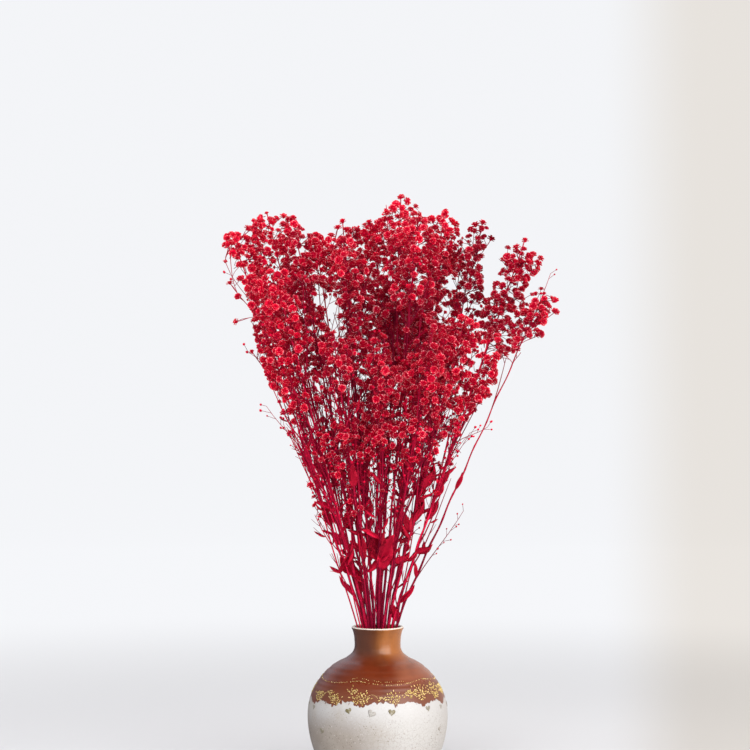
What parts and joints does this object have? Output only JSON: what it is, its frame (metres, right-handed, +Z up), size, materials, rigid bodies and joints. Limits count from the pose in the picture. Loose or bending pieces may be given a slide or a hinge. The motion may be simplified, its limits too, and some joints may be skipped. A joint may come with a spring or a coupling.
{
  "type": "preserved gypsophila in a vase",
  "caption": "Airy bunch of dyed, preserved gypsophila with small double florets, fanned out over a round stoneware vase with a small flared mouth.",
  "frame": {"origin": "the middle of the vase's flat foot, on the surface that it stands on", "axes": "+Z up along the vase's axis; -Y towards the picture's viewer, +X to the viewer's right"},
  "size_m": [0.3388, 0.2072, 0.5876],
  "materials": {
    "glazed_stoneware": "glossy brown glaze over pale glaze",
    "dyed_flowers": "matt, dyed"
  },
  "bodies": {
    "root": {"vase": "glazed_stoneware", "spray_left_edge": "dyed_flowers", "spray_left_front": "dyed_flowers", "spray_left_crown": "dyed_flowers", "spray_left_inner": "dyed_flowers", "spray_left_back": "dyed_flowers", "spray_middle_left_front": "dyed_flowers", "spray_middle_left": "dyed_flowers", "spray_middle_left_crown": "dyed_flowers", "spray_middle_front": "dyed_flowers", "spray_middle_crown": "dyed_flowers", "spray_middle_right": "dyed_flowers", "spray_middle_right_front": "dyed_flowers", "spray_right_crown": "dyed_flowers", "spray_right_front": "dyed_flowers", "spray_right_airy": "dyed_flowers", "spray_right_top": "dyed_flowers", "spray_right_edge": "dyed_flowers", "spray_right_low": "dyed_flowers", "spray_back_left": "dyed_flowers", "spray_back_middle": "dyed_flowers", "spray_back_right": "dyed_flowers"}
  },
  "joints": []
}
